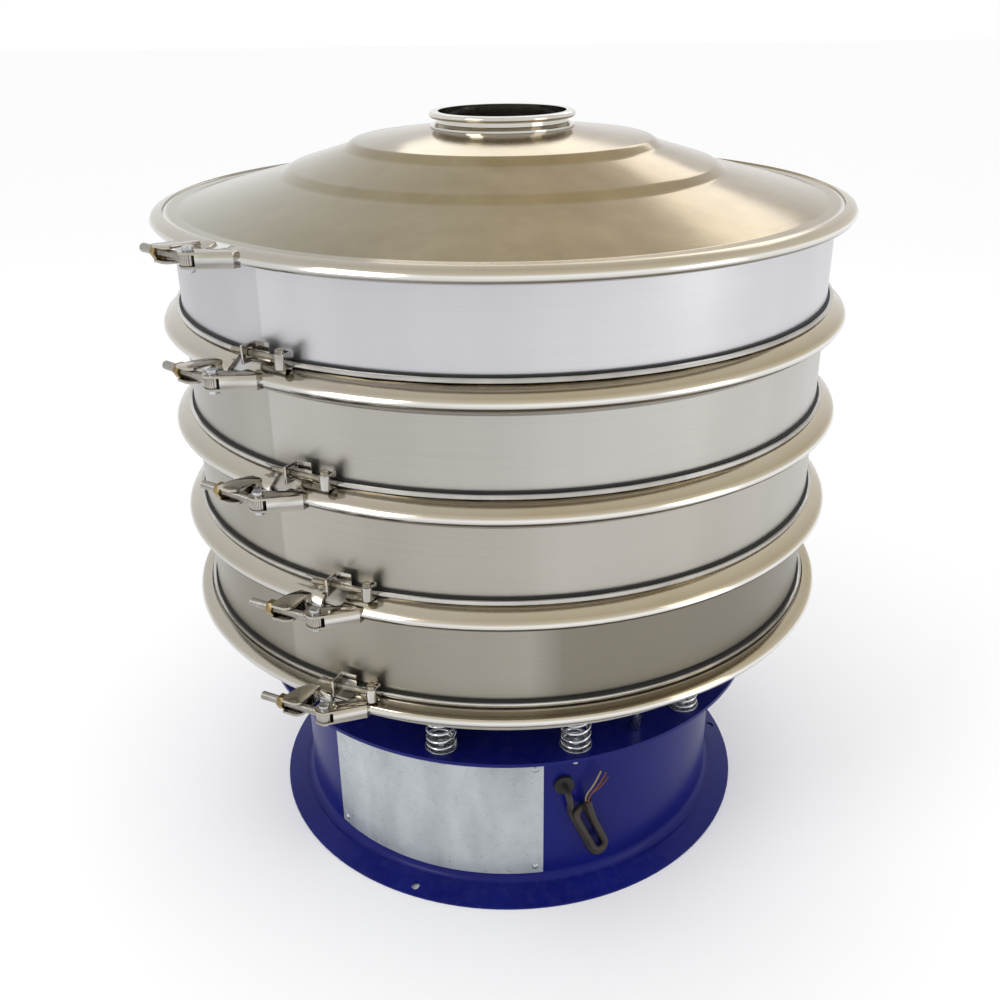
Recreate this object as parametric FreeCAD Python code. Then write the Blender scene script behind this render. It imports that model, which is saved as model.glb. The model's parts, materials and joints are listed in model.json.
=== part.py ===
import FreeCAD, Part
import math
import os
from FreeCAD import Vector

# A round vibrating sieve with four screening decks, 1000 mm across.
# Units are millimetres. The origin is on the floor at the centre of the base.
# +Z is up and the front of the machine faces -Y.
# An azimuth is an angle about +Z, counted from the front towards +X.

os.makedirs("parts", exist_ok=True)

# ---- stack of decks ----
wall_r = 500.0            # outside of the cylindrical deck walls
wall_t = 2.0
deck_count = 4
deck_pitch = 152.0        # from one clamped joint to the next
flange_w = 21.0           # width of the conical flanges at each joint
flange_rim = 3.0
gasket_t = 3.0
mesh_t = 1.0
wide_root = 22.0          # height of the conical flange on the joints between decks
narrow_root = 13.0        # height of the flange on the cover joint and the pan joint
seat_gap = 0.3

# ---- ring clamps ----
band_t = 2.5
band_room = 2.0           # between the flanges' rims and the inside of the nose
nose_half = 6.0
nose_depth = 3.5
nose_t = 7.0              # from the inside of the nose to its outside
wide_lip = 6.0            # from the deck wall to the lip of a flank
narrow_lip = 11.0
lower_lip = 12.0
band_gap = 33.0
band_azimuths = [-43.0, -41.0, -34.5, -26.5, -26.5]

# ---- swing bolt closure of a ring clamp ----
pin_offset_x = -3.0       # pin axis, sideways from the middle of the gap
pin_out = 30.0            # pin axis, outwards from the nose
pin_r = 4.0
run_clearance = 0.05
fit_gap = 0.05            # between pieces that are fitted together
eye_r = 12.0
eye_half = 6.5
rod_r = 6.0
rod_length = 105.0
clevis_inner_half = 7.0
clevis_plate_t = 3.0
clevis_end_r = 13.0
saddle_reach = 65.0       # from the pin to the rounded end of the saddle
saddle_length = 30.0
saddle_depth = 41.0
saddle_inner_half = 7.5
saddle_plate_t = 3.5
saddle_web_t = 5.0
weld_reach = 10.0         # of the brackets' plates along the band's flanks
nut_flats = 19.0
nut_t = 9.5
pin_head_r = 7.5
pin_head_t = 6.0
pin_nut_flats = 13.0

# ---- hoops that hold the mesh edge ----
hem_t = 3.5
hem_h = 8.0
hoop_t = 5.0
hoop_h = 6.0
hoop_gap = 20.0
hoop_azimuths = [-33.0, -27.0, -21.5, -22.0]
hoop_bolt_r = 4.0
hoop_bolt_out = 14.0
hoop_bolt_up = 10.0
hoop_barrel_r = 6.0
hoop_barrel_h = 25.0
hoop_barrel_x = 8.0
hoop_bracket_x = -47.0
hoop_bracket_w = 25.0
hoop_bracket_t = 3.0
hoop_bracket_out = 28.0
hoop_nut_flats = 13.0
hoop_nut_t = 6.5
hoop_bolt_tail = 20.0
strap_t = 1.5

# ---- cover and inlet ----
cover_t = 2.0
inlet_r = 97.0
inlet_wall = 3.0
inlet_foot_r = 109.0
inlet_rim_r = 111.0
inlet_bead_r = 4.5
inlet_height = 130.0
cover_apex_h = 109.0
step1_r = 227.0
step1_h = 92.0
step1_drop = 10.5
step1_w = 15.0
step2_r = 322.0
step2_h = 58.0
step2_drop = 10.0
step2_w = 16.0
skirt_r = 488.0
skirt_h = 10.0

# ---- discharge spouts ----
spout_w = 160.0
spout_h = 60.0
spout_t = 2.0
spout_reach = 615.0
spout_drop = 22.0
spout_lift = 12.0         # above the root of the flange below it
spout_lip = 8.0
spout_azimuths = [120.0, 155.0, -155.0, -120.0]
pan_spout_azimuth = 180.0
pan_spout_h = 23.0

# ---- bottom pan ----
pan_t = 3.0
pan_knuckle_r = 30.0
pan_depth = 45.0
pan_ring_t = 8.0
pan_ring_in = 46.0        # the spring ring's reach inwards from the springs
pan_ring_out = 44.0

# ---- base ----
base_h = 296.0
lowest_joint_above_base = 145.0
drum_r = 372.0
drum_t = 4.0
shelf_out = 58.0          # how far the spring shelf reaches past the drum
shelf_in = 82.0
shelf_t = 6.0
foot_out = 50.0
foot_flat = 7.0
foot_rim = 3.0
crease_out = 16.0
crease_h = 14.0
floor_bolt_inset = 16.0   # from the foot's rim to the middle of a bolt hole
floor_bolt_r = 7.0
floor_bolt_count = 3
floor_bolt_azimuth = -22.5

# ---- access plate ----
plate_t = 2.0
plate_azimuth = -21.05
plate_width = 382.4       # along the drum
plate_low = 30.0
plate_height = 222.0
plate_margin = 24.0
plate_screw_inset = 13.0
screw_r = 3.0
screw_head_r = 5.0

# ---- springs and posts ----
spring_count = 12
spring_first_azimuth = 15.0
spring_out = 24.0         # from the drum to the springs' pitch circle
spring_wire_r = 2.25
spring_mean_r = 21.25
spring_turns = 7
seat_t = 3.0
seat_r = 25.0
stud_above = 12.0
stud_r = 5.0
stud_below = 34.0
stud_nut_flats = 17.0
stud_nut_t = 8.0
post_count = 3
post_first_azimuth = 30.0
post_r = 7.8
post_cap_r = 9.0
post_cap_h = 20.0
post_clearance = 12.0

# ---- vibration motor ----
seat_can_r = 165.0
seat_can_t = 6.0
seat_can_h = 92.0
seat_flange_r = 192.0
seat_flange_t = 10.0
motor_flange_t = 14.0
motor_r = 104.0
motor_wall = 9.0
motor_length = 168.0
motor_fin_count = 16
motor_fin_h = 9.0
motor_fin_t = 4.0
bell_t = 12.0
bell_boss_h = 18.0
bell_boss_r = 48.0
bearing_r = 40.0
bearing_w = 18.0
shaft_r = 20.0
shaft_end = 44.0
rotor_r = 54.0
stator_in_r = 56.0
core_h = 96.0
weight_r = 118.0
weight_t = 26.0
weight_hub_r = 38.0
weight_hub_t = 30.0
weight_angle = 150.0
motor_bolt_count = 6
motor_bolt_pcd = 356.0
motor_bolt_r = 6.0

# ---- cable ----
grommet_azimuth = 13.4
grommet_z = 204.0
grommet_lip_r = 16.0
grommet_lip_t = 6.0
grommet_neck_r = 12.0
grommet_gap = 0.4         # the flat lip against the round drum
cable_r = 5.5
core_r = 1.5
hank_lean = 23.4          # the hank hangs this many degrees off the vertical
# Each point: along the hank, across it, and out from the drum.
cable_points = [
    (0.0, 0.0, 6.0), (0.0, 0.0, 30.0), (24.0, -6.0, 28.0), (42.0, -10.0, 10.0),
    (68.0, -12.5, 6.3), (113.0, -12.0, 6.1), (163.0, -13.2, 6.2), (163.0, 13.2, 6.2),
    (118.0, 12.2, 6.3), (85.0, 13.0, 6.1), (48.0, 12.6, 7.6), (48.0, -6.6, 21.2),
    (82.0, -8.0, 19.0), (112.0, -7.6, 18.6), (144.0, -8.4, 18.7), (144.0, 13.4, 18.7),
    (108.0, 13.0, 18.9), (70.0, 14.4, 18.6), (38.0, 20.0, 19.6),
]
core_spread = 2.9         # the cores' distance from the cable's axis where they leave it
core_lead = 10.0
# The rest of each bare core: points along the hank, across it, and out.
core_points = [
    [(20.0, 47.0, 21.0), (6.0, 66.0, 19.0)],
    [(18.0, 41.0, 17.0), (1.0, 60.0, 16.0)],
    [(30.0, 49.0, 16.5), (20.0, 66.0, 15.5)],
]

# ---- radii and heights worked out from the sizes above ----
flange_r = wall_r + flange_w
band_r = flange_r + band_room + nose_t
foot_r = drum_r + foot_out
crease_r = drum_r + crease_out
shelf_r = drum_r + shelf_out
shelf_in_r = drum_r - shelf_in
spring_pitch_r = drum_r + spring_out
lowest_joint = base_h + lowest_joint_above_base
joint_z = [lowest_joint + deck_pitch * (deck_count - i) for i in range(deck_count + 1)]
flange_slope_r = flange_w
flange_rise = gasket_t / 2 + flange_rim
pan_floor = joint_z[-1] - pan_depth
pan_ring_z = pan_floor - pan_ring_t
hoop_r = wall_r + hem_t
UP = Vector(0, 0, 1)
ORIGIN = Vector(0, 0, 0)


def save(node, shape):
    shape.exportStep(os.path.join("parts", node + ".step"))


def turned(shape, azimuth):
    """A copy turned about the machine's axis."""
    copy = shape.copy()
    copy.rotate(ORIGIN, UP, azimuth)
    return copy


def outline(points):
    """A closed face in the XZ plane. A point is (r, z), or (r, z, r_mid, z_mid) after an arc."""
    edges = []
    start = Vector(points[0][0], 0, points[0][1])
    here = start
    for point in points[1:] + [points[0][:2]]:
        there = Vector(point[0], 0, point[1])
        if len(point) == 4:
            middle = Vector(point[2], 0, point[3])
            edges.append(Part.Arc(here, middle, there).toShape())
        elif here.distanceToPoint(there) > 1e-6:
            edges.append(Part.LineSegment(here, there).toShape())
        here = there
    return Part.Face(Part.Wire(edges))


def lathe(points, start=0.0, sweep=360.0):
    """The outline revolved about Z, from an azimuth and through an angle."""
    face = turned(outline(points), start - 90.0)
    return face.revolve(ORIGIN, UP, sweep)


def ring(inner, outer, low, high):
    return lathe([(inner, low), (outer, low), (outer, high), (inner, high)])


def block(x0, x1, y0, y1, z0, z1):
    return Part.makeBox(x1 - x0, y1 - y0, z1 - z0, Vector(x0, y0, z0))


def cylinder(radius, base, direction, height):
    return Part.makeCylinder(radius, height, base, direction)


def hexagon(flats, base, direction, height):
    """A hexagonal prism along a direction, with its flats this far apart."""
    corner = flats / math.sqrt(3)
    points = [Vector(corner * math.cos(math.radians(60 * k)), corner * math.sin(math.radians(60 * k)), 0)
              for k in range(6)]
    prism = Part.Face(Part.makePolygon(points + [points[0]])).extrude(Vector(0, 0, height))
    prism.rotate(ORIGIN, Vector(0, 0, 1), 30)
    turn = FreeCAD.Rotation(UP, direction)
    prism.Placement = FreeCAD.Placement(base, turn).multiply(prism.Placement)
    return prism


def compound(shapes):
    return Part.makeCompound(shapes)


def root_height(joint):
    """How far the conical flange reaches from a joint."""
    if joint == 0 or joint == deck_count:
        return narrow_root
    return wide_root


def cone_height(joint, radius):
    """The height of a conical flange's back above its joint, at a radius."""
    slope = (root_height(joint) - flange_rise) / flange_slope_r
    return flange_rise + (flange_r - radius) * slope


# ---- deck walls ----

def spout_outline(z_low, height, grow, r_in, r_out):
    """The side view of a spout, sloping down as it goes out, grown by a wall."""
    drop = spout_drop * (r_out - wall_r) / (spout_reach - wall_r)
    lift = spout_drop * (wall_r - r_in) / (spout_reach - wall_r)
    return [
        (-r_in, z_low + lift - grow), (-r_in, z_low + height + lift + grow),
        (-r_out, z_low + height - drop + grow), (-r_out, z_low - drop - grow),
    ]


def side_prism(points, width):
    """A side view in YZ made as wide as a spout, centred on X = 0."""
    corners = [Vector(-width / 2, y, z) for y, z in points]
    face = Part.Face(Part.makePolygon(corners + [corners[0]]))
    return face.extrude(Vector(width, 0, 0))


def with_spout(wall, z_low, height, azimuth, inside):
    """A wall with a discharge spout welded round an opening in it."""
    duct = side_prism(spout_outline(z_low, height, spout_t, wall_r - 12, spout_reach), spout_w + 2 * spout_t)
    lip = side_prism(
        spout_outline(z_low, height, spout_t + spout_lip, spout_reach - 3, spout_reach),
        spout_w + 2 * spout_t + 2 * spout_lip,
    )
    way = side_prism(spout_outline(z_low, height, 0.0, wall_r - 40, spout_reach + 20), spout_w)
    duct = duct.fuse(lip).cut(inside)
    shape = wall.fuse(turned(duct, azimuth)).cut(turned(way, azimuth))
    return shape.removeSplitter()


def make_frame(deck):
    top = joint_z[deck]
    bottom = joint_z[deck + 1]
    low = bottom + gasket_t / 2
    high = top - gasket_t / 2
    inner = wall_r - wall_t
    wall = lathe([
        (inner, low), (flange_r, low), (flange_r, low + flange_rim),
        (wall_r, bottom + root_height(deck + 1)), (wall_r, top - root_height(deck)),
        (flange_r, high - flange_rim), (flange_r, high), (inner, high),
    ])
    inside = cylinder(inner + 1, Vector(0, 0, bottom), UP, top - bottom)
    return with_spout(wall, bottom + wide_root + spout_lift, spout_h, spout_azimuths[deck], inside)


def make_screen(deck):
    joint = joint_z[deck + 1]
    high = joint + gasket_t / 2
    return cylinder(flange_r - 0.5, Vector(0, 0, high - mesh_t), UP, mesh_t)


def make_gaskets():
    rings = []
    for joint in range(deck_count + 1):
        high = joint_z[joint] + gasket_t / 2
        if joint > 0:
            high = high - mesh_t
        rings.append(ring(wall_r - wall_t + 1, flange_r - 0.5, joint_z[joint] - gasket_t / 2, high))
    return compound(rings)


def hoop_low(joint):
    return joint_z[joint] + root_height(joint) + seat_gap


def make_hems():
    rings = []
    for joint in range(1, deck_count + 1):
        low = hoop_low(joint)
        rings.append(ring(wall_r, hoop_r, low, low + hem_h))
    return compound(rings)


# ---- mesh hoops and their bolts ----

def hoop_mid(joint):
    """The height of the hoop's bolt."""
    return hoop_low(joint) + hoop_h / 2 + hoop_bolt_up


def make_hoop(joint):
    """A strap round the mesh edge, with an angle bracket and a loop for its bolt."""
    low = hoop_low(joint)
    outer = hoop_r + hoop_t
    gap = math.degrees(hoop_gap / outer)
    strap = lathe([
        (hoop_r, low), (outer, low), (outer, low + hoop_h), (hoop_r, low + hoop_h),
    ], gap / 2, 360 - gap)
    top = low + hoop_barrel_h
    x0 = hoop_bracket_x
    weld = outer - 2.0
    leaf = block(x0, x0 + hoop_bracket_t, -weld - hoop_bracket_out, -weld + 4, low, top)
    back = block(x0, x0 + hoop_bracket_w, -weld - hoop_bracket_t, -weld + 4, low, top)
    axis = Vector(x0 - 10, -outer - hoop_bolt_out, hoop_mid(joint))
    hole = cylinder(hoop_bolt_r + 0.5, axis, Vector(1, 0, 0), 40)
    centre = Vector(hoop_barrel_x, -outer - hoop_bolt_out, low)
    loop_r = hoop_barrel_r + run_clearance
    loop = cylinder(loop_r + strap_t, centre, UP, hoop_barrel_h - 5)
    leg = block(
        centre.x - loop_r - strap_t, centre.x + loop_r + strap_t,
        centre.y, -weld + 4, low, low + hoop_barrel_h - 5,
    )
    core = cylinder(loop_r, centre, UP, hoop_barrel_h)
    slot = block(
        centre.x - loop_r, centre.x + loop_r, centre.y, -outer - 0.5, low - 1, top + 1,
    )
    way = block(centre.x - 20, centre.x, centre.y - 5.2, centre.y + 5.2, low + hoop_h / 2 + 4, top)
    shell = cylinder(outer + fit_gap, Vector(0, 0, low - 5), UP, hoop_barrel_h + 10)
    bracket = leaf.fuse(back).cut(hole).cut(shell).removeSplitter()
    ears = loop.fuse(leg).cut([core, slot, way, shell]).removeSplitter()
    return turned(compound([strap, bracket, ears]), hoop_azimuths[joint - 1])


def make_hoop_bolts():
    """T-shaped bolts: a threaded rod growing out of an upright barrel."""
    bolts = []
    for joint in range(1, deck_count + 1):
        low = hoop_low(joint)
        y = -(hoop_r + hoop_t) - hoop_bolt_out
        barrel = cylinder(hoop_barrel_r, Vector(hoop_barrel_x, y, low), UP, hoop_barrel_h)
        tail = hoop_bracket_x - hoop_nut_t - hoop_bolt_tail
        rod = cylinder(hoop_bolt_r, Vector(tail, y, hoop_mid(joint)), Vector(1, 0, 0), hoop_barrel_x - tail)
        bolts.append(turned(barrel.fuse(rod), hoop_azimuths[joint - 1]))
    return compound(bolts)


def make_hoop_nuts():
    nuts = []
    for joint in range(1, deck_count + 1):
        y = -(hoop_r + hoop_t) - hoop_bolt_out
        base = Vector(hoop_bracket_x, y, hoop_mid(joint))
        nut = hexagon(hoop_nut_flats, base, Vector(-1, 0, 0), hoop_nut_t)
        bore = cylinder(hoop_bolt_r + fit_gap, base, Vector(-1, 0, 0), hoop_nut_t)
        nuts.append(turned(nut.cut(bore), hoop_azimuths[joint - 1]))
    return compound(nuts)


# ---- ring clamps and their swing bolts ----

def pin_axis():
    """The swing bolt's pin, at azimuth 0."""
    return Vector(pin_offset_x, -band_r - pin_out, 0)


def band_profile(joint):
    """A rolled strip: two flanks that wedge the flanges together, and a rounded nose."""
    lip = wall_r + wide_lip
    if root_height(joint) == narrow_root:
        lip = wall_r + narrow_lip
    low_lip = wall_r + lower_lip
    slope = math.atan2(root_height(joint) - flange_rise, flange_slope_r)
    lift_in = seat_gap / math.cos(slope)
    lift_out = lift_in + band_t / math.cos(slope)
    corner_r = band_r - nose_depth
    inner_r = flange_r + band_room
    inner_z = cone_height(joint, inner_r) + lift_in
    zj = joint_z[joint]
    up_in = zj + cone_height(joint, lip) + lift_in
    up_out = zj + cone_height(joint, lip) + lift_out
    low_in = zj - cone_height(joint, low_lip) - lift_in
    low_out = zj - cone_height(joint, low_lip) - lift_out
    return [
        (lip, up_in), (lip, up_out),
        (corner_r, zj + nose_half), (band_r, zj), (corner_r, zj - nose_half),
        (low_lip, low_out), (low_lip, low_in),
        (inner_r, zj - inner_z), (inner_r, zj + inner_z),
    ]


def band_core(joint):
    """All that lies within a band's outside, grown by the fitting gap. The brackets are cut to it."""
    lip, nose_high, nose, nose_low, low_lip = band_profile(joint)[1:6]
    grow = fit_gap
    return lathe([
        (0.0, low_lip[1] - grow), (low_lip[0], low_lip[1] - grow),
        (nose_low[0] + grow, nose_low[1] - grow), (nose[0] + 2 * grow, nose[1]),
        (nose_high[0] + grow, nose_high[1] + grow), (lip[0], lip[1] + grow), (0.0, lip[1] + grow),
    ])


def make_saddle():
    """The open channel on the ring's left end, with ends rounded about the pin."""
    pin = pin_axis()
    right = pin.x - saddle_reach + saddle_length
    left = pin.x - saddle_reach - 5
    near = -band_r + weld_reach
    far = -band_r - saddle_depth
    outer_half = saddle_inner_half + saddle_plate_t
    solid = block(left, right, far, near, -outer_half, outer_half)
    web = -band_r - saddle_web_t
    hollow = block(left - 1, right + 1, far - 1, web, -saddle_inner_half, saddle_inner_half)
    reach = cylinder(saddle_reach, Vector(pin.x, pin.y, -20), UP, 40)
    corner = cylinder(12.0, Vector(right - 12, far + 12, -20), UP, 40)
    square = block(right - 12, right + 1, far - 1, far + 12, -20, 20)
    return solid.cut(hollow).common(reach).cut(square.cut(corner))


def make_clevis():
    """Two plates and a web on the ring's right end, bored for the pin."""
    pin = pin_axis()
    half = clevis_inner_half + clevis_plate_t
    base_left = band_gap / 2
    base_right = base_left + 30.0
    near = -band_r + weld_reach
    edge = Vector(base_right, -band_r, 0)
    plan = [
        Vector(base_left, near, -half), Vector(base_right, near, -half), Vector(edge.x, edge.y, -half),
        Vector(pin.x + 9.0, pin.y - 9.4, -half), Vector(pin.x - 6.0, pin.y - 11.5, -half),
        Vector(pin.x - 10.5, pin.y + 7.7, -half), Vector(base_left, -band_r, -half),
    ]
    body = Part.Face(Part.makePolygon(plan + [plan[0]])).extrude(Vector(0, 0, 2 * half))
    body = body.fuse(cylinder(clevis_end_r, Vector(pin.x, pin.y, -half), UP, 2 * half))
    web = 6.0
    hollow = block(-60, base_right - web, -band_r - 60, -band_r - 3, -clevis_inner_half, clevis_inner_half)
    slant = block(0, 60, -40, 40, -clevis_inner_half, clevis_inner_half)
    slant.rotate(ORIGIN, UP, 40)
    slant.translate(Vector(base_right - web - 26, -band_r - 40, 0))
    keep = hollow.cut(slant)
    clear = cylinder(eye_r + 3, Vector(pin.x, pin.y, -clevis_inner_half), UP, 2 * clevis_inner_half)
    sweep = block(pin.x - 8, pin.x + 16, pin.y - 60, pin.y, -clevis_inner_half, clevis_inner_half)
    bore = cylinder(pin_r + run_clearance, Vector(pin.x, pin.y, -20), UP, 40)
    return body.cut(keep.fuse(clear).fuse(sweep)).cut(bore)


def make_band(joint):
    """The rolled band, with the two brackets that are welded to its ends."""
    gap = math.degrees(band_gap / band_r)
    pieces = [lathe(band_profile(joint), gap / 2, 360 - gap)]
    core = band_core(joint)
    for bracket in (make_saddle(), make_clevis()):
        bracket.translate(Vector(0, 0, joint_z[joint]))
        pieces.append(bracket.cut(core).removeSplitter())
    return turned(compound(pieces), band_azimuths[joint])


def make_swing_bolt(joint):
    """An eye bolt that turns on the clevis pin."""
    pin = pin_axis() + Vector(0, 0, joint_z[joint])
    eye = cylinder(eye_r, pin - Vector(0, 0, eye_half), UP, 2 * eye_half)
    rod = cylinder(rod_r, pin, Vector(-1, 0, 0), rod_length)
    bore = cylinder(pin_r + run_clearance, pin - Vector(0, 0, 20), UP, 40)
    shape = eye.fuse(rod).cut(bore)
    return turned(shape.removeSplitter(), band_azimuths[joint])


def make_swing_nut(joint):
    """The brass nut that pulls the ring shut. It bears on the saddle's rounded ends."""
    pin = pin_axis() + Vector(0, 0, joint_z[joint])
    base = pin - Vector(saddle_reach + seat_gap, 0, 0)
    nut = hexagon(nut_flats, base, Vector(-1, 0, 0), nut_t)
    bore = cylinder(rod_r + run_clearance, base, Vector(-1, 0, 0), nut_t)
    return turned(nut.cut(bore), band_azimuths[joint])


def make_clevis_pins():
    pins = []
    half = clevis_inner_half + clevis_plate_t
    for joint in range(deck_count + 1):
        pin = pin_axis() + Vector(0, 0, joint_z[joint])
        low = pin - Vector(0, 0, half + pin_head_t)
        shank = cylinder(pin_r, low, UP, 2 * half + 2 * pin_head_t)
        head = cylinder(pin_head_r, pin + Vector(0, 0, half), UP, pin_head_t)
        nut = hexagon(pin_nut_flats, low, UP, pin_head_t)
        pins.append(turned(shank.fuse(head).fuse(nut), band_azimuths[joint]))
    return compound(pins)


# ---- cover ----

def make_cover():
    """A stepped dome of cones, with a conical flange at its rim."""
    zj = joint_z[0]
    a = (inlet_r, zj + cover_apex_h)
    b = (step1_r, zj + step1_h)
    c = (step1_r + step1_w, zj + step1_h - step1_drop)
    d = (step2_r, zj + step2_h)
    e = (step2_r + step2_w, zj + step2_h - step2_drop)
    f = (skirt_r, zj + skirt_h)
    edge_r = wall_r + narrow_lip - 3.0
    edge = (edge_r, zj + cone_height(0, edge_r))
    low = zj + gasket_t / 2
    inner = wall_r - wall_t
    t = cover_t
    return lathe([
        a, b, c, d, e, f, edge,
        (flange_r, low + flange_rim), (flange_r, low), (inner, low), (inner, f[1] - t),
        (f[0], f[1] - t), (e[0], e[1] - t), (d[0], d[1] - t),
        (c[0], c[1] - t), (b[0], b[1] - t), (a[0], a[1] - t),
    ])


def make_inlet():
    """The feed collar: a flared foot, a neck and a rolled rim."""
    zj = joint_z[0]
    foot = zj + cover_apex_h
    top = zj + inlet_height
    neck = inlet_r + inlet_wall
    bead = inlet_rim_r - inlet_bead_r
    dip = (inlet_foot_r - inlet_r) * (cover_apex_h - step1_h) / (step1_r - inlet_r)
    return lathe([
        (inlet_r, foot + seat_gap), (inlet_foot_r, foot - dip + seat_gap), (inlet_foot_r, foot + 1.6),
        (neck, foot + 6.0), (neck, top - 2 * inlet_bead_r),
        (bead, top - 2 * inlet_bead_r), (bead, top, inlet_rim_r, top - inlet_bead_r),
        (inlet_r, top),
    ])


# ---- bottom pan ----

def make_pan():
    """A shallow dish with a conical flange, a spring ring welded below and the fines spout."""
    zj = joint_z[-1]
    high = zj - gasket_t / 2
    floor = pan_floor
    knee = pan_knuckle_r
    bend = knee * math.sqrt(0.5)
    inner = wall_r - pan_t
    shape = lathe([
        (0, floor), (wall_r - knee, floor), (wall_r - knee + bend, floor + knee - bend),
        (wall_r, floor + knee),
        (wall_r, zj - narrow_root), (flange_r, high - flange_rim), (flange_r, high),
        (inner, high), (inner, floor + knee), (wall_r - knee, floor + pan_t), (0, floor + pan_t),
    ])
    inside = cylinder(wall_r - knee + 4, Vector(0, 0, floor - 60), UP, 100)
    shape = with_spout(shape, floor + pan_t + 1, pan_spout_h, pan_spout_azimuth, inside)
    return shape.fuse(ring(spring_pitch_r - pan_ring_in, spring_pitch_r + pan_ring_out, pan_ring_z, floor)).removeSplitter()


# ---- base ----

def drum_knee():
    """The radius of the bend between the drum's wall and its foot."""
    return crease_out


def wall_low():
    return crease_h + drum_knee()


def make_drum():
    """The rolled wall of the base, with the motor's window, the gland's hole and the screw holes."""
    inner = drum_r - drum_t
    wall = ring(inner, drum_r, wall_low(), base_h - shelf_t)
    cuts = [window_cut()]
    cuts.append(radial_cylinder(grommet_neck_r + fit_gap, grommet_azimuth, grommet_z, inner - 5, drum_r + 5))
    for side in (-1, 1):
        for z in screw_heights():
            cuts.append(radial_cylinder(screw_r + fit_gap, screw_turn(side), z, inner - 5, drum_r + 5))
    return wall.cut(cuts)


def make_shelf():
    """The ring that the springs stand on, welded on top of the wall."""
    low = base_h - shelf_t
    holes = [upright(stud_r + fit_gap, spring_pitch_r, azimuth, low - 1, base_h + 1)
             for azimuth in spring_azimuths()]
    return ring(shelf_in_r, shelf_r, low, base_h).cut(holes)


def make_foot():
    """The spun foot: it turns out of the wall and slopes down to a narrow flat."""
    knee = drum_knee()
    low = wall_low()
    inner = drum_r - drum_t
    top_bend = knee * (1 - math.sqrt(0.5))
    back_knee = knee + drum_t
    back_bend = back_knee * (1 - math.sqrt(0.5))
    foot = lathe([
        (drum_r, low), (inner, low), (inner + back_bend, crease_h - drum_t + back_bend),
        (crease_r, crease_h - drum_t), (foot_r - foot_flat, 0), (foot_r, 0), (foot_r, foot_rim),
        (crease_r, crease_h), (drum_r, low, drum_r + top_bend, crease_h + top_bend),
    ])
    holes = [upright(floor_bolt_r, foot_r - floor_bolt_inset, azimuth, -1, crease_h + 10)
             for azimuth in floor_bolt_azimuths()]
    return foot.cut(holes)


def floor_bolt_azimuths():
    return [floor_bolt_azimuth + 360.0 * k / floor_bolt_count for k in range(floor_bolt_count)]


def spring_azimuths():
    return [spring_first_azimuth + 360.0 * k / spring_count for k in range(spring_count)]


def post_azimuths():
    return [post_first_azimuth + 360.0 * k / post_count for k in range(post_count)]


def upright(radius, pitch_r, azimuth, low, high):
    """A vertical cylinder on a pitch circle."""
    return turned(cylinder(radius, Vector(0, -pitch_r, low), UP, high - low), azimuth)


def radial_cylinder(radius, azimuth, z, r0, r1):
    """A cylinder that points outwards at an azimuth."""
    return turned(cylinder(radius, Vector(0, -r0, z), Vector(0, -1, 0), r1 - r0), azimuth)


def sector(r0, r1, az0, az1, z0, z1):
    """A curved plate between two azimuths."""
    return lathe([(r0, z0), (r1, z0), (r1, z1), (r0, z1)], az0, az1 - az0)


def plate_edges(inset):
    """The azimuths of the plate's two upright edges, moved in by an inset."""
    half = math.degrees((plate_width / 2 - inset) / drum_r)
    return plate_azimuth - half, plate_azimuth + half


def window_cut():
    low, high = plate_edges(plate_margin)
    return sector(
        drum_r - drum_t - 5, drum_r + 5, low, high,
        plate_low + plate_margin, plate_low + plate_height - plate_margin,
    )


def screw_turn(side):
    """A screw's azimuth, on the left or the right of the plate."""
    low, high = plate_edges(plate_screw_inset)
    if side < 0:
        return low
    return high


def screw_heights():
    return [plate_low + plate_screw_inset, plate_low + plate_height - plate_screw_inset]


def make_plate():
    inner = drum_r + fit_gap
    low, high = plate_edges(0.0)
    plate = sector(inner, drum_r + plate_t, low, high, plate_low, plate_low + plate_height)
    holes = []
    for side in (-1, 1):
        for z in screw_heights():
            holes.append(radial_cylinder(screw_r + fit_gap, screw_turn(side), z, drum_r - 5, drum_r + 10))
    return plate.cut(holes)


def make_plate_screws():
    """Dome-head screws through the plate into the drum wall."""
    screws = []
    face = drum_r + plate_t
    dome_r = screw_head_r * 1.25
    for side in (-1, 1):
        for z in screw_heights():
            shank = cylinder(screw_r, Vector(0, -drum_r + 10, z), Vector(0, -1, 0), face - drum_r + 11)
            head = Part.makeSphere(dome_r, Vector(0, -face + screw_head_r * 0.75 - fit_gap, z))
            cap = block(-dome_r, dome_r, -face - dome_r, -face - fit_gap, z - dome_r, z + dome_r)
            screws.append(turned(shank.fuse(head.common(cap)), screw_turn(side)))
    return compound(screws)


# ---- springs, their seats and the posts ----

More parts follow.
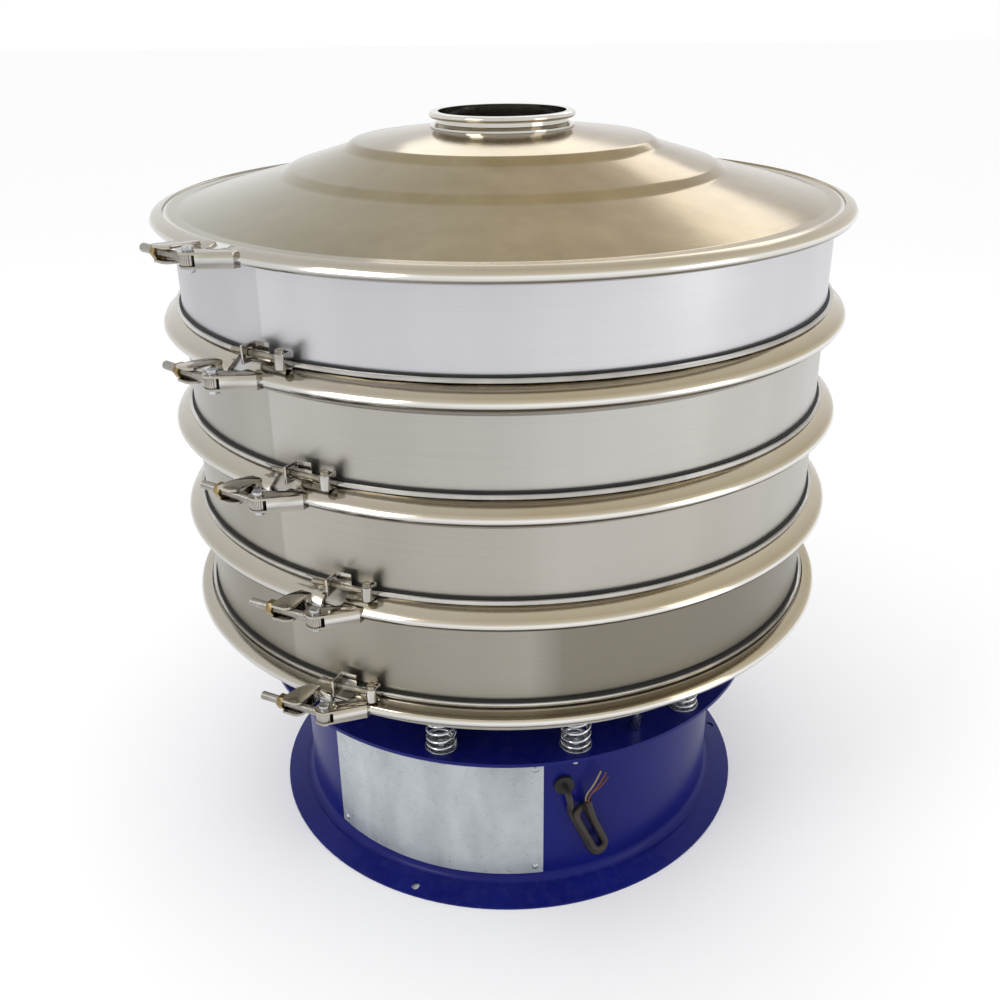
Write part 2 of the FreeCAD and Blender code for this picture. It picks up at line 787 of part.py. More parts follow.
def coil_spring(low, high):
    """A compression spring of square-edged wire with closed ends, on the Z axis."""
    steps = 8
    count = spring_turns * steps
    free = high - low - 2 * spring_wire_r
    closed = 2.2 * spring_wire_r
    rise = (free - 2 * closed) / (spring_turns - 2)
    sections = []
    for k in range(count + 1):
        turn = k / steps
        z = low + spring_wire_r + closed * min(turn, 1.0) + rise * min(max(turn - 1.0, 0.0), spring_turns - 2)
        z += closed * max(turn - (spring_turns - 1), 0.0)
        angle = 2 * math.pi * turn
        direction = Vector(math.cos(angle), math.sin(angle), 0)
        centre = direction * spring_mean_r + Vector(0, 0, z)
        w = spring_wire_r
        sections.append([
            centre + direction * w, centre + Vector(0, 0, w), centre - direction * w, centre - Vector(0, 0, w),
        ])
    faces = []
    for here, there in zip(sections, sections[1:]):
        for i in range(4):
            j = (i + 1) % 4
            faces.append(triangle(here[i], there[i], there[j]))
            faces.append(triangle(here[i], there[j], here[j]))
    for end in (sections[0], sections[-1]):
        faces.append(triangle(end[0], end[1], end[2]))
        faces.append(triangle(end[0], end[2], end[3]))
    return Part.Solid(Part.Shell(faces))


def triangle(a, b, c):
    return Part.Face(Part.makePolygon([a, b, c, a]))


def spring_low():
    return base_h + seat_t


def spring_high():
    return pan_ring_z - seat_t


def on_springs(shape):
    """Copies of a shape, built on the Z axis, at every spring."""
    copies = []
    for azimuth in spring_azimuths():
        copy = shape.copy()
        copy.translate(Vector(0, -spring_pitch_r, 0))
        copies.append(turned(copy, azimuth))
    return compound(copies)


def make_lower_seats():
    """A washer on the shelf, and a stud through it with its nut below."""
    washer = cylinder(seat_r, Vector(0, 0, base_h), UP, seat_t)
    stud = cylinder(stud_r, Vector(0, 0, base_h - stud_below), UP, stud_below + seat_t + stud_above)
    nut_top = base_h - shelf_t
    nut = hexagon(stud_nut_flats, Vector(0, 0, nut_top - stud_nut_t), UP, stud_nut_t)
    return on_springs(washer.fuse([stud, nut]))


def make_upper_seats():
    """A washer below the pan's ring, with a short stud inside the spring."""
    washer = cylinder(seat_r, Vector(0, 0, pan_ring_z - seat_t), UP, seat_t)
    stud = cylinder(stud_r, Vector(0, 0, pan_ring_z - seat_t - stud_above), UP, stud_above)
    return on_springs(washer.fuse(stud))


def make_posts():
    posts = []
    top = pan_ring_z - post_clearance
    for azimuth in post_azimuths():
        stem = upright(post_r, spring_pitch_r, azimuth, base_h, top - post_cap_h)
        cap = upright(post_cap_r, spring_pitch_r, azimuth, top - post_cap_h, top)
        posts.append(stem.fuse(cap))
    return compound(posts)


# ---- vibration motor, hung below the pan ----

def motor_levels():
    """The heights of the motor's main faces, from the top down."""
    seat_low = pan_floor - seat_can_h
    flange_low = seat_low - motor_flange_t
    body_low = flange_low - motor_length
    return seat_low, flange_low, body_low


def make_motor_seat():
    """The round can welded below the pan. The upper weight turns inside it."""
    seat_low, flange_low, body_low = motor_levels()
    can = ring(seat_can_r - seat_can_t, seat_can_r, seat_low, pan_floor)
    flange = ring(seat_can_r - seat_can_t, seat_flange_r, seat_low, seat_low + seat_flange_t)
    holes = [upright(motor_bolt_r, motor_bolt_pcd / 2, a, seat_low - 1, seat_low + seat_flange_t + 1)
             for a in motor_bolt_azimuths()]
    return can.fuse(flange).cut(holes)


def motor_bolt_azimuths():
    return [360.0 * (k + 0.5) / motor_bolt_count for k in range(motor_bolt_count)]


def make_motor_housing():
    """A flanged tube with cooling fins, bored for the stator."""
    seat_low, flange_low, body_low = motor_levels()
    body = ring(motor_r - motor_wall, motor_r, body_low, seat_low)
    flange = ring(motor_r - motor_wall, seat_flange_r, flange_low, seat_low)
    fins = []
    for k in range(motor_fin_count):
        fin = block(-motor_fin_t / 2, motor_fin_t / 2, -motor_r - motor_fin_h, -motor_r + 2,
                    body_low + 10, flange_low)
        fins.append(turned(fin, 360.0 * k / motor_fin_count))
    holes = [upright(motor_bolt_r, motor_bolt_pcd / 2, a, flange_low - 1, seat_low + 1)
             for a in motor_bolt_azimuths()]
    return body.fuse(fins).fuse(flange).cut(holes)


def make_motor_bolts():
    seat_low, flange_low, body_low = motor_levels()
    bolts = []
    for azimuth in motor_bolt_azimuths():
        shank = cylinder(motor_bolt_r - fit_gap, Vector(0, -motor_bolt_pcd / 2, flange_low), UP,
                         motor_flange_t + seat_flange_t)
        head = hexagon(19.0, Vector(0, -motor_bolt_pcd / 2, flange_low - 8), UP, 8)
        nut = hexagon(19.0, Vector(0, -motor_bolt_pcd / 2, seat_low + seat_flange_t), UP, 8)
        bolts.append(turned(shank.fuse(head).fuse(nut), azimuth))
    return compound(bolts)


def make_end_bells():
    """The two bearing shields that close the motor."""
    seat_low, flange_low, body_low = motor_levels()
    seat = motor_r - motor_wall
    bells = []
    for face, way in ((seat_low, 1), (body_low, -1)):
        plate = [(bearing_r, face - way * bearing_w), (bearing_r + 6, face - way * bearing_w),
                 (bearing_r + 6, face - way * bell_t), (seat - fit_gap, face - way * bell_t),
                 (seat - fit_gap, face),
                 (motor_r, face), (motor_r, face + way * 2), (bell_boss_r, face + way * bell_boss_h),
                 (shaft_r + 2, face + way * bell_boss_h), (shaft_r + 2, face), (bearing_r, face)]
        bells.append(lathe(plate))
    return compound(bells)


def make_bearings():
    seat_low, flange_low, body_low = motor_levels()
    lows = (seat_low - bearing_w, body_low)
    return compound([ring(shaft_r, bearing_r - fit_gap, low, low + bearing_w) for low in lows])


def make_stator():
    seat_low, flange_low, body_low = motor_levels()
    middle = (flange_low + body_low) / 2
    outer = motor_r - motor_wall - fit_gap
    return ring(stator_in_r, outer, middle - core_h / 2, middle + core_h / 2)


def make_rotor():
    """The shaft with its rotor core."""
    seat_low, flange_low, body_low = motor_levels()
    middle = (flange_low + body_low) / 2
    reach = bell_boss_h + shaft_end
    shaft = cylinder(shaft_r - run_clearance, Vector(0, 0, body_low - reach), UP,
                     seat_low + reach - (body_low - reach))
    core = cylinder(rotor_r, Vector(0, 0, middle - core_h / 2), UP, core_h)
    return shaft.fuse(core)


def make_weight(low, turn):
    """An eccentric weight: a hub on the shaft and a fan-shaped plate."""
    fan = lathe([(shaft_r, low), (weight_r, low), (weight_r, low + weight_t), (shaft_r, low + weight_t)],
                turn - weight_angle / 2, weight_angle)
    hub = ring(shaft_r, weight_hub_r, low, low + weight_hub_t)
    return hub.fuse(fan).removeSplitter()


def weight_lows():
    seat_low, flange_low, body_low = motor_levels()
    upper = seat_low + bell_boss_h + 4
    lower = body_low - bell_boss_h - 4 - weight_hub_t
    return upper, lower


# ---- cable ----

def beside_drum(along, across, out):
    """A point beside the drum, from its place on the hank."""
    lean = math.radians(hank_lean)
    sideways = along * math.sin(lean) + across * math.cos(lean)
    z = grommet_z - along * math.cos(lean) + across * math.sin(lean)
    azimuth = math.radians(grommet_azimuth) + sideways / drum_r
    radius = drum_r + out
    return Vector(radius * math.sin(azimuth), -radius * math.cos(azimuth), z)


def routed_tube(name, points, radius):
    """A tube along straight runs joined by tangent arcs."""
    edges = []
    radii = []
    here = points[0]
    for before, corner, after in zip(points, points[1:], points[2:]):
        back = (before - corner)
        ahead = (after - corner)
        run = min(back.Length, ahead.Length)
        back.normalize()
        ahead.normalize()
        turn = math.pi - back.getAngle(ahead)
        reach = 0.45 * run
        bend = reach / math.tan(turn / 2)
        radii.append(bend)
        start = corner + back * reach
        end = corner + ahead * reach
        bisector = back + ahead
        bisector.normalize()
        centre_far = bend / math.cos(turn / 2)
        middle = corner + bisector * (centre_far - bend)
        edges.append(Part.LineSegment(here, start).toShape())
        edges.append(Part.Arc(start, middle, end).toShape())
        here = end
    edges.append(Part.LineSegment(here, points[-1]).toShape())
    path = Part.Wire(edges)
    direction = points[1] - points[0]
    section = Part.Wire(Part.Circle(points[0], direction, radius).toShape())
    tube = path.makePipeShell([section], True, False)
    expected = math.pi * radius ** 2 * path.Length
    print(name, "length", round(path.Length, 1), "tightest", round(min(radii), 1),
          "volume ratio", round(tube.Volume / expected, 4))
    return tube


def make_cable():
    return routed_tube("motor_cable", [beside_drum(*p) for p in cable_points], cable_r)


def core_route(k):
    """A core's points: straight out of the cable's end, then through its own points."""
    end = beside_drum(*cable_points[-1])
    axis = end - beside_drum(*cable_points[-2])
    axis.normalize()
    side = axis.cross(Vector(end.x, end.y, 0))
    side.normalize()
    angle = 2 * math.pi * (k / len(core_points) + 0.25)
    start = end + (side * math.cos(angle) + side.cross(axis) * math.sin(angle)) * core_spread
    return [start, start + axis * core_lead] + [beside_drum(*p) for p in core_points[k]]


def make_cores():
    routes = [core_route(k) for k in range(len(core_points))]
    return compound([routed_tube("cable_core", route, core_r) for route in routes])


def make_grommet():
    """A rubber gland in the drum wall. The cable leaves from its face."""
    inner = drum_r - drum_t
    out = Vector(0, -1, 0)
    lip_low = drum_r + grommet_gap
    neck = cylinder(grommet_neck_r, Vector(0, -inner + 5, 0), out, 5 + drum_t + grommet_lip_t)
    lip = cylinder(grommet_lip_r, Vector(0, -lip_low, 0), out, drum_r + grommet_lip_t - lip_low)
    back = cylinder(grommet_lip_r, Vector(0, -inner + 5, 0), out, 3.5)
    shape = neck.fuse([lip, back]).removeSplitter()
    shape.translate(Vector(0, 0, grommet_z))
    return turned(shape, grommet_azimuth)


def main():
    save("base_drum", make_drum())
    save("spring_shelf", make_shelf())
    save("base_foot", make_foot())
    save("access_plate", make_plate())
    save("plate_screws", make_plate_screws())
    save("cable_grommet", make_grommet())
    save("motor_cable", make_cable())
    save("cable_cores", make_cores())
    save("lower_spring_seats", make_lower_seats())
    save("upper_spring_seats", make_upper_seats())
    save("support_springs", on_springs(coil_spring(spring_low(), spring_high())))
    save("limit_posts", make_posts())
    save("bottom_pan", make_pan())
    save("motor_seat", make_motor_seat())
    save("motor_housing", make_motor_housing())
    save("motor_end_bells", make_end_bells())
    save("motor_bearings", make_bearings())
    save("motor_bolts", make_motor_bolts())
    save("stator_core", make_stator())
    save("rotor_shaft", make_rotor())
    upper, lower = weight_lows()
    save("upper_weight", make_weight(upper, 0.0))
    save("lower_weight", make_weight(lower, 60.0))
    for deck in range(deck_count):
        save("deck_frame_%d" % (deck + 1), make_frame(deck))
        save("screen_%d" % (deck + 1), make_screen(deck))
    save("joint_gaskets", make_gaskets())
    save("mesh_hems", make_hems())
    for joint in range(1, deck_count + 1):
        save("mesh_hoop_%d" % (joint + 1), make_hoop(joint))
    save("hoop_bolts", make_hoop_bolts())
    save("hoop_nuts", make_hoop_nuts())
    for joint in range(deck_count + 1):
        save("ring_clamp_%d" % (joint + 1), make_band(joint))
        save("swing_bolt_%d" % (joint + 1), make_swing_bolt(joint))
        save("swing_nut_%d" % (joint + 1), make_swing_nut(joint))
    save("clevis_pins", make_clevis_pins())
    save("cover", make_cover())
    save("inlet_collar", make_inlet())


main()
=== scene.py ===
# %% [markdown]
# # A round vibrating sieve
# The construction comes from the frame: every solid at its real size and place. This lesson gives those
# solids their finish. The cover is turned again with rounded steps, the springs are wound from wire, the
# hardware gets broken edges, and the metals, the paint and the rubber are made as procedural materials.

# %% Open the frame
import json
import math
import bmesh
import bpy
from mathutils import Matrix, Vector

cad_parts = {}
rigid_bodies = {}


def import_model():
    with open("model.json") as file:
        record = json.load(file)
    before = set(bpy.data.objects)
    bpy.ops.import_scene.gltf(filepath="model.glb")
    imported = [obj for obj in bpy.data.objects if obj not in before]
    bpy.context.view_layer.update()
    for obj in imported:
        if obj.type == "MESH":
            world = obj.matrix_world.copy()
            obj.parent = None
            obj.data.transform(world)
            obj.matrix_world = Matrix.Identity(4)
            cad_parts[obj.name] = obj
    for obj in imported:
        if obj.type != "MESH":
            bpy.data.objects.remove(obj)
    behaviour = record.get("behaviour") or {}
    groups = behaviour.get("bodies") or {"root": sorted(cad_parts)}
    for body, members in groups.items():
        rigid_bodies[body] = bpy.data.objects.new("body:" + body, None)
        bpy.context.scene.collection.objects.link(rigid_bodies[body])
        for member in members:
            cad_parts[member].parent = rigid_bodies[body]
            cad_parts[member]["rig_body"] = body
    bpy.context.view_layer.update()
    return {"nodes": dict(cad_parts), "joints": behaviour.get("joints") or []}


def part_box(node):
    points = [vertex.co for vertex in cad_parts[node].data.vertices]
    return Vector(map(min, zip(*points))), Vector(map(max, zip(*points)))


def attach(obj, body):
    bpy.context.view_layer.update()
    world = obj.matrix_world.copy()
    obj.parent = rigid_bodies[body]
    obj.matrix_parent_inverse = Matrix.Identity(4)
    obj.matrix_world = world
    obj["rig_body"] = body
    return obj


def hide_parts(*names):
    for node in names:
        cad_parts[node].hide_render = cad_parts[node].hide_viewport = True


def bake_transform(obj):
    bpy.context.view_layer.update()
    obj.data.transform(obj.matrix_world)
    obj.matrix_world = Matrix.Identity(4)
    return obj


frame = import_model()
nodes = frame["nodes"]
joints = {joint["name"]: joint for joint in frame["joints"]}

# %% [markdown]
# ## The camera
# A product picture of a machine this wide is taken from near head height, tilted down, so that the round
# decks show as ellipses that open towards the floor. A short lens close by makes the lower decks look
# smaller. The camera is placed in front of the machine and turned by three angles rather than aimed at a
# point, so that its roll is set too.

# %% Place the camera
camera_distance = 1.7466
camera_height = 1.3424
camera_tilt = 0.4348
camera_turn = 0.0061
camera_roll = -0.0126
camera_focal = 39.526

camera_data = bpy.data.cameras.new("camera")
camera_data.sensor_width = 36.0
camera_data.lens = camera_focal
camera_data.clip_start = 0.05
camera = bpy.data.objects.new("camera", camera_data)
bpy.context.scene.collection.objects.link(camera)
camera.matrix_world = (
    Matrix.Translation((0, -camera_distance, camera_height))
    @ Matrix.Rotation(camera_turn, 4, "Z")
    @ Matrix.Rotation(math.pi / 2 - camera_tilt, 4, "X")
    @ Matrix.Rotation(camera_roll, 4, "Z")
)
bpy.context.scene.camera = camera
print("The camera stands", camera_distance, "m from the axis and", camera_height, "m up")

# %% [markdown]
# ## Shader maths as expressions
# Most finishes need a little arithmetic on patterns. Wiring Math nodes by hand hides the formula, so a
# small class wraps a socket: adding or multiplying two of them adds the Math node. Everything else comes
# from one method that takes a node's type, its settings and its inputs.

# %% Write shader maths as Python
class Field:
    """A number that varies over a surface."""

    def __init__(self, maker, socket):
        self.maker = maker
        self.socket = socket

    def math(self, operation, *others):
        values = {0: self}
        for place, other in enumerate(others):
            values[place + 1] = other
        return self.maker.node("ShaderNodeMath", {"operation": operation}, values)

    def __add__(self, other):
        return self.math("ADD", other)

    __radd__ = __add__

    def __mul__(self, other):
        return self.math("MULTIPLY", other)

    __rmul__ = __mul__

    def __sub__(self, other):
        return self.math("SUBTRACT", other)

    def __rsub__(self, other):
        return (self * -1.0) + other

    def __truediv__(self, other):
        return self.math("DIVIDE", other)

    def clamped(self):
        return self.math("MINIMUM", 1.0).math("MAXIMUM", 0.0)


class Finish:
    """One material, built node by node around its shader."""

    def __init__(self, name, **constants):
        self.material = bpy.data.materials.new(name)
        self.material.use_nodes = True
        self.tree = self.material.node_tree
        self.shader = self.tree.nodes["Principled BSDF"]
        for socket, value in constants.items():
            self.shader.inputs[socket.replace("_", " ")].default_value = value

    def node(self, kind, settings=None, inputs=None, output=0):
        made = self.tree.nodes.new(kind)
        for key, value in (settings or {}).items():
            if key == "stops":
                ramp = made.color_ramp
                while len(ramp.elements) < len(value):
                    ramp.elements.new(0.5)
                for element, (place, colour) in zip(ramp.elements, value):
                    element.position = place
                    element.color = (*colour, 1.0)
            else:
                setattr(made, key, value)
        for key, value in (inputs or {}).items():
            if isinstance(value, Field):
                self.tree.links.new(value.socket, made.inputs[key])
            else:
                made.inputs[key].default_value = value
        return Field(self, made.outputs[output])

    def along(self, axis):
        """One of the piece's own coordinates, in metres."""
        point = self.node("ShaderNodeTexCoord", output="Object")
        return self.node("ShaderNodeSeparateXYZ", {}, {"Vector": point}, output=axis)

    def stretched(self, scale):
        """The piece's own coordinates, stretched for a pattern."""
        point = self.node("ShaderNodeTexCoord", output="Object")
        return self.node("ShaderNodeMapping", {}, {"Vector": point, "Scale": scale})

    def noise(self, scale, detail=3.0, stretch=(1, 1, 1), roughness=0.5):
        values = {"Vector": self.stretched(stretch), "Scale": scale, "Detail": detail, "Roughness": roughness}
        return self.node("ShaderNodeTexNoise", {}, values)

    def ramp(self, field, *stops):
        return self.node("ShaderNodeValToRGB", {"stops": stops}, {"Fac": field})

    def blend(self, share, first, second):
        """Goes from the first colour to the second as the share goes from 0 to 1."""
        values = {0: share}
        for key, colour in ((6, first), (7, second)):
            values[key] = colour if isinstance(colour, Field) else (*colour, 1.0)
        return self.node("ShaderNodeMix", {"data_type": "RGBA"}, values, output=2)

    def drive(self, socket, field):
        self.tree.links.new(field.socket, self.shader.inputs[socket])

    def bump(self, height, strength, distance=0.001):
        values = {"Height": height, "Strength": strength, "Distance": distance}
        self.drive("Normal", self.node("ShaderNodeBump", {}, values))


def linear(red, green, blue):
    """A colour as it looks, from 0 to 255, turned into the linear values that shaders use."""
    def one(value):
        share = value / 255
        if share <= 0.04045:
            return share / 12.92
        return ((share + 0.055) / 1.055) ** 2.4
    return (one(red), one(green), one(blue))


# %% [markdown]
# ## Polished stainless steel
# The cover and the ring clamps are spun and buffed. Buffing leaves hair-fine rings round the axis and faint
# broad clouds. Noise whose coordinates are stretched along Z would streak a wall, but a spun disc needs
# rings, so the distance from the axis is worked out and fed to a one-dimensional noise. The clamps get
# painted reflections from the height above the nearest joint: a painted white highlight on the nose and a
# painted dark reflection under it. The cover gets a painted highlight on its rim. Both are painted greyer
# towards negative X as a painted reflection.

# %% Mix the polished steels
ring_lines = 900.0
rim_highlight_r = 0.503
joint_pitch = 0.152
band_height = 0.04
lowest_joint_z = joints["swing_5"]["pos_m"][2]


def spun_base(name, roughness, ring_depth):
    """Spun metal, with hair-fine rings in its bump and gloss. Returns the finish, radius and clouds."""
    finish = Finish(name, Metallic=1.0, Roughness=roughness)
    x, y, z = finish.along("X"), finish.along("Y"), finish.along("Z")
    radius = (x * x + y * y).math("SQRT")
    line = finish.node("ShaderNodeTexNoise", {"noise_dimensions": "1D"},
                       {"W": radius + z * 0.7, "Scale": ring_lines, "Detail": 2.0})
    cloud = finish.noise(3.2, 3.0) * 0.8 + finish.noise(26.0, 4.0, (1, 1, 0.5)) * 0.3 + line * 0.15
    finish.drive("Roughness", (line * 0.10 + cloud * 0.06 + (roughness - 0.10)).clamped())
    finish.bump(line, ring_depth, 0.0004)
    return finish, radius, cloud


def cover_finish():
    """Buffed sheet: warm and dark on the cones, a greener painted reflection towards -X, a painted highlight on
    the rim.
    """
    finish, radius, cloud = spun_base("cover_steel", 0.15, 0.08)
    warm = finish.blend((cloud * 1.6 - 0.5).clamped(), linear(110, 92, 60), linear(164, 147, 112))
    # Towards negative X the sheet turns a greener grey, a painted reflection.
    left = (finish.along("X") * -1.6 - 0.12 + cloud * 0.3).clamped()
    sheet_and_reflection = finish.blend(left * 0.8, warm, linear(142, 146, 134))
    # Outside the highlight radius the rim is painted near white, a painted highlight where it turns down.
    rim = ((radius - rim_highlight_r) * 160.0).clamped()
    finish.drive("Base Color", finish.blend(rim, sheet_and_reflection, linear(226, 224, 220)))
    return finish.material


def clamp_finish():
    """The rolled bands, with painted reflections: a warm upper flank, a painted white highlight on the nose, a
    painted dark reflection below it.
    """
    finish, _, cloud = spun_base("clamp_steel", 0.15, 0.05)
    turn = ((finish.along("Z") - lowest_joint_z) / joint_pitch + 0.5).math("FRACT")
    above = (turn - 0.5) * (joint_pitch / band_height) + 0.5
    # Painted reflections by height above the joint: lower flank, a dark painted reflection under the nose, a
    # white painted highlight on the nose, then the warm upper flank.
    painted_reflection_bands = finish.ramp(
        above.clamped(), (0.0, linear(150, 138, 114)), (0.26, linear(120, 106, 82)), (0.40, linear(62, 52, 40)),
        (0.46, linear(206, 202, 196)), (0.55, linear(242, 241, 239)), (0.61, linear(188, 176, 150)),
        (0.70, linear(158, 144, 116)), (1.0, linear(182, 170, 146)),
    )
    # Towards negative X the bands fade to a cooler grey, a painted reflection.
    left = (finish.along("X") * -3.0 + 0.15).clamped()
    cooler_reflection = finish.blend(left * 0.55, painted_reflection_bands, linear(172, 172, 170))
    worn = (cloud * 1.3 - 0.45).clamped() * 0.45
    finish.drive("Base Color", finish.blend(worn, cooler_reflection, linear(196, 190, 176)))
    return finish.material


def bright_finish(name, dark, light, roughness):
    """Plain spun metal in clouds of two tones."""
    finish, _, cloud = spun_base(name, roughness, 0.05)
    finish.drive("Base Color", finish.blend((cloud * 1.4 - 0.4).clamped(), dark, light))
    return finish.material


cover_steel = cover_finish()
clamp_steel = clamp_finish()
hoop_steel = bright_finish("hoop_steel", linear(120, 114, 104), linear(224, 223, 220), 0.16)
collar_steel = bright_finish("collar_steel", linear(168, 162, 148), linear(232, 230, 224), 0.12)
print("Four polished steels are ready")

# %% [markdown]
# ## Satin steel for the deck walls
# The deck walls are rolled sheet with a brushed finish that runs round the machine. Stretching noise a few
# hundred times along Z gives long, thin, level scratches. Each wall gets its own colours, darker towards the
# bottom. A sharp step in colour at one azimuth is a painted reflection edge, and a softer step on the side
# towards positive X is a painted reflection that lightens it, or on the lowest wall darkens it.

# %% Mix the satin steels
reflection_step_azimuth = -38.0
bright_side_edge_x = 0.03
scratch_stretch = 420.0


def brushed_steel(name, dark, light, roughness=0.34, bright_side_share=0.22):
    """Brushed sheet in two tones, with painted reflections. The bright side's share is what the side towards
    positive X gains as a painted reflection, or loses if it is below zero.
    """
    finish = Finish(name, Metallic=1.0, Roughness=roughness)
    scratch = finish.noise(3.0, 5.0, (1.0, 1.0, scratch_stretch), 0.62)
    haze = finish.noise(4.5, 2.0, (1.0, 1.0, 0.12))
    x, y = finish.along("X"), finish.along("Y")
    # A sharp step at one azimuth and a softer one towards positive X are painted reflections on the sheet.
    reflection_step_angle = math.radians(reflection_step_azimuth)
    past_reflection_step = ((x * math.cos(reflection_step_angle) + y * math.sin(reflection_step_angle)) * 350.0 + 0.5).clamped()
    painted_bright_side = ((x - bright_side_edge_x) * 22.0).clamped()
    share = (scratch * 0.40 + haze * 1.1 + past_reflection_step * 0.30 + painted_bright_side * bright_side_share - 0.56).clamped()
    finish.drive("Base Color", finish.blend(share, dark, light))
    finish.drive("Roughness", (scratch * 0.16 + (roughness - 0.08)).clamped())
    finish.bump(scratch, 0.10, 0.0003)
    return finish.material


wall_steels = [
    brushed_steel("wall_steel_1", linear(172, 171, 176), linear(214, 214, 216)),
    brushed_steel("wall_steel_2", linear(146, 142, 135), linear(196, 194, 189)),
    brushed_steel("wall_steel_3", linear(141, 137, 127), linear(185, 182, 175)),
    brushed_steel("wall_steel_4", linear(126, 121, 110), linear(170, 166, 155), 0.34, -0.55),
]
pan_steel = brushed_steel("pan_steel", linear(140, 137, 128), linear(182, 179, 170))
plain_steel = brushed_steel("plain_steel", linear(150, 150, 148), linear(196, 196, 194), 0.30)
print(len(wall_steels), "wall steels are ready")

# %% [markdown]
# ## Zinc, brass and iron
# Springs, studs and posts are zinc plated: a cool grey with slight clouds. The nuts are brass, duller in
# clouds. The motor's castings are grainy and painted.

# %% Mix the small metals
thread_pitch = 0.00175


def plated(name, dark, light, roughness, grain):
    finish = Finish(name, Metallic=1.0, Roughness=roughness)
    cloud = finish.noise(60.0, 4.0)
    fine = finish.noise(grain, 2.0)
    share = (cloud * 1.2 + fine * 0.3 - 0.3).clamped()
    finish.drive("Base Color", finish.blend(share, dark, light))
    finish.drive("Roughness", (cloud * 0.18 + (roughness - 0.08)).clamped())
    finish.bump(fine, 0.12, 0.0002)
    return finish.material


zinc = plated("zinc", linear(150, 152, 156), linear(214, 216, 220), 0.26, 900.0)
spring_zinc = plated("spring_zinc", linear(170, 172, 178), linear(232, 233, 238), 0.22, 700.0)
bracket_steel = plated("bracket_steel", linear(92, 86, 76), linear(196, 188, 170), 0.24, 500.0)
brass = plated("brass", linear(92, 76, 48), linear(178, 156, 110), 0.28, 700.0)


def threaded(name, azimuth, dark, light):
    """Plated rod that runs level at an azimuth. Waves along the rod are its thread."""
    finish = Finish(name, Metallic=1.0, Roughness=0.26)
    point = finish.node("ShaderNodeTexCoord", output="Object")
    turn = math.radians(azimuth)
    along = (math.cos(turn), math.sin(turn), 0.0)
    run = finish.node("ShaderNodeVectorMath", {"operation": "DOT_PRODUCT"}, {0: point, 1: along},
                      output="Value")
    wave = (run * (2 * math.pi / thread_pitch)).math("SINE") * 0.5 + 0.5
    cloud = finish.noise(60.0, 4.0)
    # The crests of the thread are painted lighter and its roots darker: painted highlight and painted shade.
    finish.drive("Base Color", finish.blend((wave * 0.7 + cloud * 0.5 - 0.15).clamped(), dark, light))
    finish.bump(wave, 0.55, 0.0006)
    return finish.material


def cast(name, dark, light, roughness):
    finish = Finish(name, Metallic=0.0, Roughness=roughness)
    grain = finish.noise(420.0, 4.0)
    cloud = finish.noise(9.0, 3.0)
    share = (cloud * 1.1 - 0.1).clamped()
    finish.drive("Base Color", finish.blend(share, dark, light))
    finish.bump(grain, 0.35, 0.0005)
    return finish.material


cast_iron = cast("cast_iron", linear(52, 53, 56), linear(78, 79, 82), 0.62)
core_iron = cast("core_iron", linear(84, 82, 80), linear(112, 110, 106), 0.55)
motor_paint = cast("motor_paint", linear(28, 36, 66), linear(40, 50, 84), 0.45)
print("The small metals are ready")

# %% [markdown]
# ## Paint on the base
# The base is sprayed a deep blue. Sprayed enamel has a faint orange peel, a low gloss and a little dust on
# level surfaces. Dust is told apart by the normal: faces that look up get a touch of pale grey.

# %% Mix the paint
def enamel(name, deep, bright, dust_colour):
    finish = Finish(name, Metallic=0.0, Roughness=0.36, Coat_Roughness=0.16, Specular_IOR_Level=0.12)
    peel = finish.noise(260.0, 2.0)
    cloud = finish.noise(7.0, 4.0)
    speck = finish.noise(55.0, 6.0, (1, 1, 1), 0.7)
    normal = finish.node("ShaderNodeNewGeometry", output="Normal")
    up = finish.node("ShaderNodeSeparateXYZ", {}, {"Vector": normal}, output="Z")
    dusty = ((up - 0.35).clamped() * (speck - 0.46).clamped() * 0.5).clamped()
    colour = finish.blend((cloud * 1.3 - 0.15).clamped(), deep, bright)
    finish.drive("Base Color", finish.blend(dusty, colour, dust_colour))
    finish.drive("Roughness", (cloud * 0.10 + dusty * 0.8 + 0.27).clamped())
    finish.drive("Coat Weight", (0.06 - dusty).clamped())
    finish.bump(peel, 0.06, 0.0006)
    return finish.material


base_paint = enamel("base_paint", linear(11, 16, 84), linear(18, 25, 108), linear(90, 96, 130))
print("The base has its paint")

# %% [markdown]
# ## Rubber, plastics and the protective film
# Gaskets and the gland are plain black rubber. The access plate still wears its protective film: a milky
# skin with fine creases, so it is only partly metallic.

# %% Mix rubber, plastics and film
def soft_black(name, dark, light, roughness, grain=300.0):
    finish = Finish(name, Metallic=0.0, Roughness=roughness)
    fine = finish.noise(grain, 4.0)
    cloud = finish.noise(18.0, 3.0)
    finish.drive("Base Color", finish.blend((cloud * 1.2 - 0.1).clamped(), dark, light))
    finish.bump(fine, 0.25, 0.0004)
    return finish.material


rubber = soft_black("rubber", linear(14, 14, 15), linear(30, 30, 31), 0.62)
sheath = soft_black("sheath", linear(24, 18, 15), linear(52, 42, 34), 0.58, 500.0)
brown_core = soft_black("brown_core", linear(74, 34, 22), linear(104, 52, 34), 0.45, 900.0)
cream_core = soft_black("cream_core", linear(120, 108, 78), linear(152, 140, 108), 0.45, 900.0)


